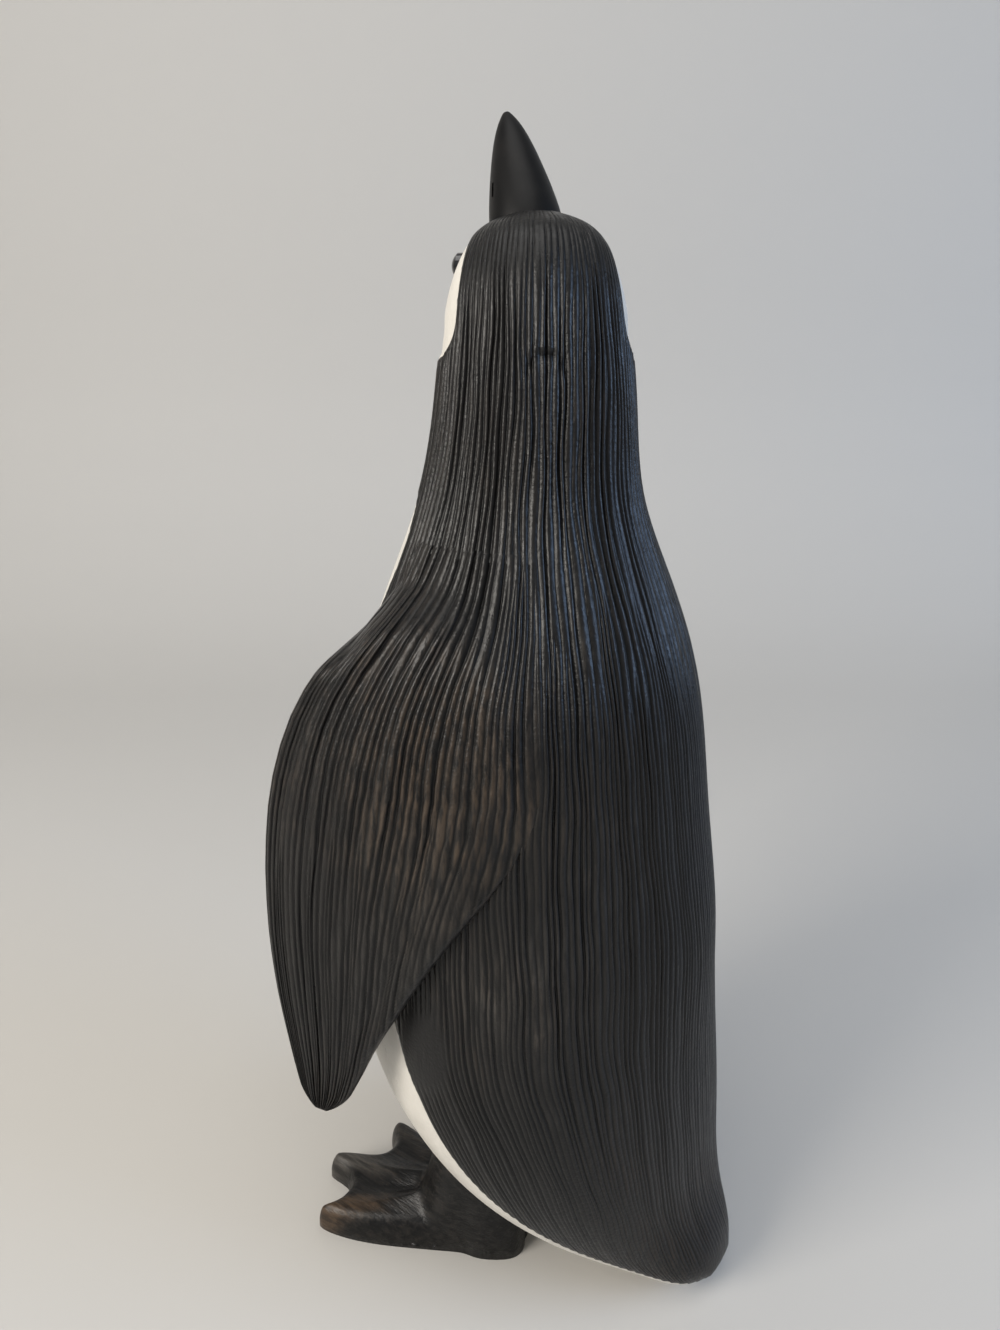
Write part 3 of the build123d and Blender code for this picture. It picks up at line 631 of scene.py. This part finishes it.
# the mesh has closer columns over the toes and closer rows at the rim
foot_angles = np.radians(np.concatenate([
    np.linspace(-180, -40, 50)[:-1], np.linspace(-40, 40, 181), np.linspace(40, 180, 50)[1:]]))
foot_shares = 1 - (1 - np.linspace(0, 1, 56)) ** 1.6
rim_spacing = 0.12


def rounder(a, b, radius):
    """The greater of two values, with a rounded change from one to the other."""
    return np.maximum(a, b) + np.maximum(radius - np.abs(a - b), 0) ** 2 / (4 * radius)


def along_toe(ahead, out, tip):
    """How far along a toe a place lies, from root (0) to end (1), and its distance from the toe's line."""
    reach = np.array(tip) - (toe_root, 0)
    share = np.clip(((ahead - toe_root) * reach[0] + out * reach[1]) / (reach @ reach), 0, 1)
    return share, np.hypot(ahead - toe_root - share * reach[0], out - share * reach[1])


def foot_top(ahead, out):
    """Height of the foot's upper side, how much its paint is rubbed and how brown the wood is there."""
    height = web_height + web_rise * np.clip(1 - ahead / web_reach, 0, 1) ** 1.4
    rubbed, brown = 0 * ahead, 0 * ahead
    for tip, rub, tone in zip(toe_tips, toe_rubs, toe_browns):
        share, off = along_toe(ahead, out, tip)
        ridge = toe_height + toe_rise * (1 - share) ** 1.35
        ridge = ridge * (1 - 0.45 * np.minimum(off / toe_half_width, 1.4) ** 1.3)
        bare = rub * ease(0.45, 0.9, share) * ease(4.5, 1.5, off)
        brown = np.where(bare > rubbed, tone, brown)
        rubbed = np.maximum(rubbed, bare)
        height = rounder(height, ridge, 2.0)
    from_ankle = np.hypot((ahead - ankle_ahead) / ankle_length, out / ankle_width)
    ankle = ankle_foot + ankle_rise * ease(1.5, 0.55, from_ankle)
    return rounder(height, ankle, 5.0), rubbed, brown


outline_turns = np.unwrap(np.arctan2(foot_outline[:, 1], foot_outline[:, 0] - screw_ahead)[::-1])
outline_radii = np.hypot(foot_outline[:, 0] - screw_ahead, foot_outline[:, 1])[::-1]
outline_turns = outline_turns - 2 * math.pi * (outline_turns[-1] > math.pi + 0.1)
foot_reach = smooth_through(outline_turns, outline_radii[:, None], foot_angles)[:, 0]
foot_rim = np.stack([screw_ahead + foot_reach * np.cos(foot_angles), foot_reach * np.sin(foot_angles)], -1)
rim_way = np.concatenate([[0], np.cumsum(np.linalg.norm(np.diff(foot_rim, axis=0), axis=1))])
rim_places = np.arange(0, rim_way[-1], rim_spacing)
rim_points = np.stack([np.interp(rim_places, rim_way, foot_rim[:, i]) for i in (0, 1)], -1)


def foot_inside(ahead, out):
    """Distance from the foot's outline."""
    return np.concatenate([
        np.sqrt(((place[:, None] - rim_points) ** 2).sum(-1).min(1))
        for place in np.array_split(np.stack([ahead, out], -1), 40)])


def foot_place(column, row):
    """Points and marks of the left foot: rows go out over its top, then in under the sole to the screw's recess."""
    under = row - len(foot_shares) + 1
    radius = foot_reach[column] * foot_shares[np.minimum(row, len(foot_shares) - 1)]
    radius = np.where(under >= 3, 0, np.where(under >= 1, screw_recess_radius, radius))
    ahead, out = screw_ahead + radius * np.cos(foot_angles[column]), radius * np.sin(foot_angles[column])
    top, rubbed, brown = foot_top(ahead, out)
    edge = np.where(under < 0, np.clip(foot_inside(ahead, out) / foot_edge, 0, 1), 0)
    height = top * (1 - (1 - edge) ** foot_edge_power) ** (1 / foot_edge_power)
    height = np.where(under >= 1, np.where(under >= 2, screw_recess, 0), height)
    return (foot_origin + foot_ahead * ahead[:, None] + foot_out * out[:, None] + skyward * height[:, None],
            {"rubbed": np.where(under >= 1, 0, rubbed), "brown": brown})


foot_paint, foot_tree, foot_shader = new_material("worn_foot_paint")
foot_where = add_node(foot_tree, "ShaderNodeTexCoord")
foot_map = add_node(foot_tree, "ShaderNodeMapping", Vector=foot_where.outputs["Object"], Scale=(1.0, 0.1, 0.7))
foot_grain = add_node(foot_tree, "ShaderNodeTexNoise", Vector=foot_map.outputs["Vector"],
                      Scale=800.0, Detail=4.0, Roughness=0.65)
foot_rub = add_node(foot_tree, "ShaderNodeAttribute", {"attribute_name": "rubbed"})
foot_ridge = add_node(foot_tree, "ShaderNodeMapRange", i0=foot_grain.outputs["Fac"],
                      i1=0.36, i2=0.62, i3=0.3, i4=1.0)
foot_wear = add_node(foot_tree, "ShaderNodeMath", {"operation": "MULTIPLY_ADD"},
                     i0=foot_rub.outputs["Fac"], i1=1.6, i2=0.3)
foot_worn = add_node(foot_tree, "ShaderNodeGroup", {"node_tree": wear_and_sheen},
                     Ridge=foot_ridge.outputs[0], Wear=foot_wear.outputs[0])
foot_bump = add_node(foot_tree, "ShaderNodeBump", Strength=0.55, Distance=0.0006, Height=foot_grain.outputs["Fac"])
foot_shader.inputs["Specular IOR Level"].default_value = 0.3
foot_bare = add_node(foot_tree, "ShaderNodeMath", {"operation": "MULTIPLY", "use_clamp": True},
                     i0=foot_rub.outputs["Fac"], i1=foot_ridge.outputs[0])
foot_brown = add_node(foot_tree, "ShaderNodeAttribute", {"attribute_name": "brown"})
foot_wood = add_node(foot_tree, "ShaderNodeMix", {"data_type": "RGBA"}, i0=foot_brown.outputs["Fac"],
                     i6=(0.085, 0.078, 0.069, 1), i7=(0.066, 0.041, 0.023, 1))
foot_color = add_node(foot_tree, "ShaderNodeMix", {"data_type": "RGBA"}, i0=foot_bare.outputs[0],
                      i6=foot_worn.outputs["Color"], i7=foot_wood.outputs[2])
foot_tree.links.new(foot_color.outputs[2], foot_shader.inputs["Base Color"])
foot_tree.links.new(foot_worn.outputs["Roughness"], foot_shader.inputs["Roughness"])
foot_tree.links.new(foot_bump.outputs["Normal"], foot_shader.inputs["Normal"])
left_foot = wrapped_sheet("carved_left_foot", len(foot_angles) - 1, len(foot_shares) + 2, foot_place)
right_foot = bpy.data.objects.new("carved_right_foot", left_foot.data.copy())
bpy.context.scene.collection.objects.link(right_foot)
mirrored = bmesh.new()
mirrored.from_mesh(right_foot.data)
bmesh.ops.scale(mirrored, vec=(-1, 1, 1), verts=mirrored.verts)
bmesh.ops.reverse_faces(mirrored, faces=mirrored.faces)
mirrored.to_mesh(right_foot.data)
mirrored.free()
for foot, node in ((left_foot, "left_foot"), (right_foot, "right_foot")):
    foot.data.materials.append(foot_paint)
    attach(foot, "root")
    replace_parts(foot, node)


# Beak: smooth hardwood, painted black and a little rubbed, glued into the crown with a dowel.
# It is a CAD solid with its mouth line and nostrils, so only its paint is made here.
beak_paint, beak_tree, beak_shader = new_material("rubbed_beak_paint")
beak_place = add_node(beak_tree, "ShaderNodeTexCoord")
beak_noise = add_node(beak_tree, "ShaderNodeTexNoise", Vector=beak_place.outputs["Object"], Scale=120.0, Detail=4.0)
beak_worn = add_node(beak_tree, "ShaderNodeGroup", {"node_tree": wear_and_sheen}, Ridge=beak_noise.outputs["Fac"], Wear=0.4)
beak_bump = add_node(beak_tree, "ShaderNodeBump", Strength=0.2, Distance=0.0003, Height=beak_noise.outputs["Fac"])
beak_tree.links.new(beak_worn.outputs["Color"], beak_shader.inputs["Base Color"])
beak_shader.inputs["Roughness"].default_value = 0.46
beak_shader.inputs["Specular IOR Level"].default_value = 0.2
beak_tree.links.new(beak_bump.outputs["Normal"], beak_shader.inputs["Normal"])
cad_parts["beak"].data.materials.clear()
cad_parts["beak"].data.materials.append(beak_paint)


# Eyes: polished black glass beads, set in the cheeks by their shanks.
# They are CAD solids, so only their glass is made here.
eye_glass, eye_tree, eye_shader = new_material("black_bead_glass")
eye_place = add_node(eye_tree, "ShaderNodeTexCoord")
eye_noise = add_node(eye_tree, "ShaderNodeTexNoise", Vector=eye_place.outputs["Object"], Scale=300.0)
eye_tone = add_node(eye_tree, "ShaderNodeMix", {"data_type": "RGBA"}, i0=eye_noise.outputs["Fac"],
                    i6=(0.004, 0.004, 0.005, 1), i7=(0.012, 0.011, 0.012, 1))
eye_tree.links.new(eye_tone.outputs[2], eye_shader.inputs["Base Color"])
eye_shader.inputs["Roughness"].default_value = 0.08
eye_shader.inputs["Coat Weight"].default_value = 0.6
for node in ("left_eye", "right_eye"):
    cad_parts[node].data.materials.clear()
    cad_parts[node].data.materials.append(eye_glass)


# Dowels and screws: turned beech sticks and plain steel wood screws inside the joints.
# They are CAD solids, so only their materials are made here.
bare_wood, bare_tree, bare_shader = new_material("bare_dowel_wood")
bare_place = add_node(bare_tree, "ShaderNodeTexCoord")
bare_grain = add_node(bare_tree, "ShaderNodeTexNoise", Vector=bare_place.outputs["Object"], Scale=500.0, Detail=3.0)
bare_tone = add_node(bare_tree, "ShaderNodeMix", {"data_type": "RGBA"}, i0=bare_grain.outputs["Fac"],
                     i6=(0.38, 0.23, 0.11, 1), i7=(0.55, 0.37, 0.20, 1))
bare_tree.links.new(bare_tone.outputs[2], bare_shader.inputs["Base Color"])
bare_shader.inputs["Roughness"].default_value = 0.6
screw_steel, steel_tree, steel_shader = new_material("plain_screw_steel")
steel_place = add_node(steel_tree, "ShaderNodeTexCoord")
steel_noise = add_node(steel_tree, "ShaderNodeTexNoise", Vector=steel_place.outputs["Object"], Scale=800.0)
steel_tone = add_node(steel_tree, "ShaderNodeMix", {"data_type": "RGBA"}, i0=steel_noise.outputs["Fac"],
                      i6=(0.30, 0.29, 0.28, 1), i7=(0.48, 0.47, 0.45, 1))
steel_tree.links.new(steel_tone.outputs[2], steel_shader.inputs["Base Color"])
steel_shader.inputs["Metallic"].default_value = 1.0
steel_shader.inputs["Roughness"].default_value = 0.38
for node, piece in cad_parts.items():
    if node.endswith("_dowel") or node.endswith("_screw"):
        piece.data.materials.clear()
        piece.data.materials.append(screw_steel if node.endswith("_screw") else bare_wood)


# Nape peg: a beech stick that locks the neck's dowel, driven in from the nape.
# Its end is cut back below the carving and filled, so only an arched mark is left on the nape.
peg_start, peg_end, peg_radius = -10.0, 21.2, 3.0  # from the neck's axis towards the nape
peg_shape = bmesh.new()
bmesh.ops.create_cone(peg_shape, cap_ends=True, segments=32, radius1=peg_radius * mm, radius2=peg_radius * mm,
                      depth=(peg_end - peg_start) * mm)
peg_out = Vector(-head_front)
peg_middle = Vector((0, neck_y, nape_peg_height)) + peg_out * (peg_start + peg_end) / 2
bmesh.ops.transform(peg_shape, verts=peg_shape.verts,
                    matrix=Matrix.Translation(peg_middle * mm) @ peg_out.to_track_quat("Z", "Y").to_matrix().to_4x4())
peg_mesh = bpy.data.meshes.new("cut_back_peg")
peg_shape.to_mesh(peg_mesh)
peg_shape.free()
peg = bpy.data.objects.new("cut_back_peg", peg_mesh)
bpy.context.scene.collection.objects.link(peg)
peg.data.materials.append(bare_wood)
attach(peg, "root")
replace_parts(peg, "nape_peg")


# Table and light: a plain pale sweep that rises behind the penguin.
# One warm window stands on the left, a cool one on the right, and the ceiling gives soft light.
sweep_length, sweep_width, sweep_bend_at, sweep_bend_radius = 4.4, 6.0, 0.45, 0.25
sweep_mesh = bpy.data.meshes.new("pale_sweep")
sweep_shape = bmesh.new()
view_back = Vector((-0.819, -0.574, 0))
view_right = Vector((-0.574, 0.819, 0))
bmesh.ops.create_grid(sweep_shape, x_segments=2, y_segments=60, size=0.5)
for vert in sweep_shape.verts:
    run = vert.co.y * sweep_length
    bend = min(max((run - sweep_bend_at) / sweep_bend_radius, 0), math.pi / 2)
    past = max(run - sweep_bend_at - sweep_bend_radius * math.pi / 2, 0)
    ground = min(run, sweep_bend_at) + sweep_bend_radius * math.sin(bend)
    rise = sweep_bend_radius * (1 - math.cos(bend)) + past
    vert.co = view_back * ground + view_right * (vert.co.x * sweep_width) + Vector((0, 0, rise))
for face in sweep_shape.faces:
    face.smooth = True
sweep_shape.to_mesh(sweep_mesh)
sweep_shape.free()
sweep = bpy.data.objects.new("pale_sweep", sweep_mesh)
bpy.context.scene.collection.objects.link(sweep)
table_paint, _, table_shader = new_material("pale_table")
table_shader.inputs["Base Color"].default_value = (0.53, 0.512, 0.48, 1)
table_shader.inputs["Roughness"].default_value = 0.65
sweep.data.materials.append(table_paint)

world = bpy.data.worlds.new("soft_room")
bpy.context.scene.world = world
world.use_nodes = True
world.node_tree.nodes["Background"].inputs["Color"].default_value = (0.93, 0.96, 1.0, 1)
world.node_tree.nodes["Background"].inputs["Strength"].default_value = 0.3
lamp_target = Vector((0, 0, 0.15))
for name, place, power, size, color in (
    ("left_window", (0.9, -0.33, 0.56), 10.0, 0.5, (1.0, 0.95, 0.88)),
    ("right_window", (-0.38, 0.9, 0.46), 5.5, 0.5, (0.45, 0.65, 1.0)),
    ("ceiling", (0.3, 0.1, 1.3), 7.0, 1.0, (1.0, 0.98, 0.95)),
):
    lamp = bpy.data.lights.new(name, "AREA")
    lamp.energy, lamp.size, lamp.color = power, size, color
    lamp_object = bpy.data.objects.new(name, lamp)
    lamp_object.location = place
    lamp_object.rotation_euler = (lamp_target - Vector(place)).to_track_quat("-Z", "Y").to_euler()
    bpy.context.scene.collection.objects.link(lamp_object)
bpy.context.scene.view_settings.view_transform = "Standard"

# camera: a phone held above and behind the penguin's left shoulder
camera = bpy.data.objects.new("camera", bpy.data.cameras.new("camera"))
sensor_width, focal_pixels, photo_height = 36.0, 960, 1330
camera.data.sensor_width = sensor_width
camera.data.lens = sensor_width * focal_pixels / photo_height
camera.data.clip_start = 0.01
camera_place = Vector((0.1993, 0.1224, 0.254))
look = Vector((-0.7745, -0.5423, -0.3256))
aside = Vector((-0.5736, 0.8192, 0))
above = aside.cross(look)
camera.matrix_world = Matrix.Translation(camera_place) @ Matrix((aside, above, -look)).transposed().to_4x4()
bpy.context.scene.collection.objects.link(camera)
bpy.context.scene.camera = camera
